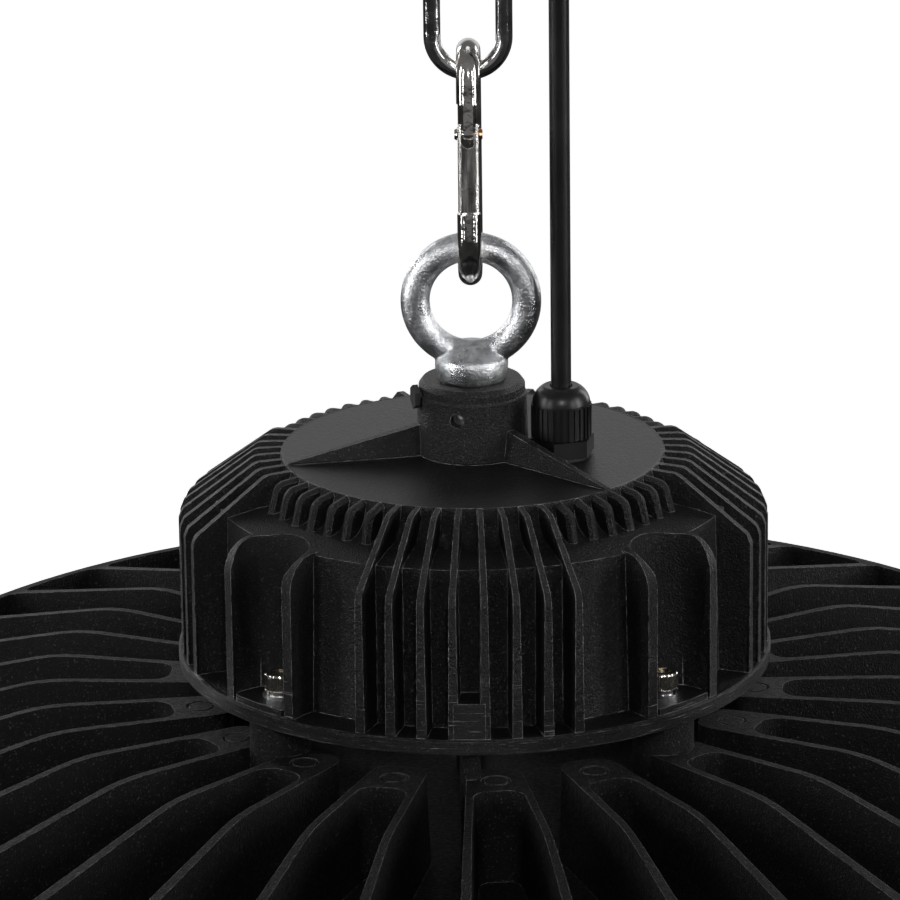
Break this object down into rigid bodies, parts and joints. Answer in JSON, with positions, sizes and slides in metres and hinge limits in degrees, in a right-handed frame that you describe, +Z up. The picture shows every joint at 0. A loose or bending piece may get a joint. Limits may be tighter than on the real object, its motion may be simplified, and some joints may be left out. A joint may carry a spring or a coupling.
{
  "type": "high bay light",
  "caption": "Round cast LED high bay light with a finned drum over a wide finned heat sink, hung by an eye bolt, a spring-gate hook and a chain link, with a cable gland and cable.",
  "frame": {"origin": "where the chain link bears on what holds it: the inside of the link's top, on the lamp's axis", "axes": "+Z up along the lamp's axis, -Y to the front where the hook's gate is, +X to the cable's side"},
  "size_m": [0.4, 0.4, 0.3163],
  "materials": {
    "link_steel": "bright zinc-plated steel",
    "hook_nickel": "nickel-plated steel",
    "rivet_copper": "rolled rivet, slightly coppery",
    "spring_steel": "spring wire",
    "eye_zinc": "forged, zinc-plated",
    "screw_steel": "plated steel",
    "screw_black": "black oxide steel",
    "coat_black": "fine textured black powder coat on die-cast aluminium",
    "cover_alloy": "plain rolled sheet",
    "seal_grey": "silicone",
    "gland_black": "satin black nylon",
    "seal_black": "soft black rubber",
    "cable_black": "matte black sheath",
    "connector_black": "moulded black plastic",
    "contact_brass": "bright",
    "board_white": "white solder mask on metal core",
    "led_yellow": "phosphor",
    "lens_clear": "clear moulded polycarbonate",
    "board_green": "green solder mask",
    "tube_plastic": "white nylon",
    "core_dark": "ferrite",
    "coil_copper": "enamelled wire",
    "can_black": "sleeved can",
    "terminal_green": "moulded"
  },
  "bodies": {
    "chain": {"chain_link": "link_steel"},
    "hook": {"hook_body": "hook_nickel", "gate_rivet": "rivet_copper"},
    "gate": {"hook_gate": "hook_nickel", "gate_spring": "spring_steel"},
    "lamp": {"eye_bolt": "eye_zinc", "eye_lock_screw": "screw_steel", "housing_screws": "screw_steel", "plain_washers": "screw_steel", "spring_washers": "screw_steel", "cover_screws": "screw_steel", "board_screws": "screw_steel", "driver_screws": "screw_steel", "eye_stop_screw": "screw_black", "ring_screws": "screw_black", "driver_housing": "coat_black", "heat_sink": "coat_black", "lens_ring": "coat_black", "bottom_cover": "cover_alloy", "housing_gasket": "seal_grey", "lens_gasket": "seal_grey", "gland_body": "gland_black", "gland_nut": "gland_black", "gland_locknut": "gland_black", "gland_seal": "seal_black", "gland_washer": "seal_black", "power_cable": "cable_black", "cable_tail": "cable_black", "connector_nut": "connector_black", "connector_shell": "connector_black", "connector_insert": "connector_black", "connector_pins": "contact_brass", "led_board": "board_white", "leds": "led_yellow", "lens_cover": "lens_clear", "driver_board": "board_green", "lead_tube": "tube_plastic", "driver_standoffs": "tube_plastic", "transformer": "core_dark", "choke": "coil_copper", "capacitors": "can_black", "driver_terminal": "terminal_green"}
  },
  "joints": [
    {"name": "hook_swing", "type": "hinge", "parent": "chain", "child": "hook", "pos_m": [0, 0, -0.0385], "axis": [1, 0, 0], "range_deg": [-25, 25]},
    {"name": "gate_turn", "type": "hinge", "parent": "hook", "child": "gate", "pos_m": [0, -0.0096, -0.05492], "axis": [1, 0, 0], "range_deg": [0, 30], "stiffness_Nm_per_rad": 0.02, "springref_deg": -28.65},
    {"name": "lamp_swing", "type": "hinge", "parent": "hook", "child": "lamp", "pos_m": [0, 0, -0.0914], "axis": [1, 0, 0], "range_deg": [-20, 20]}
  ]
}
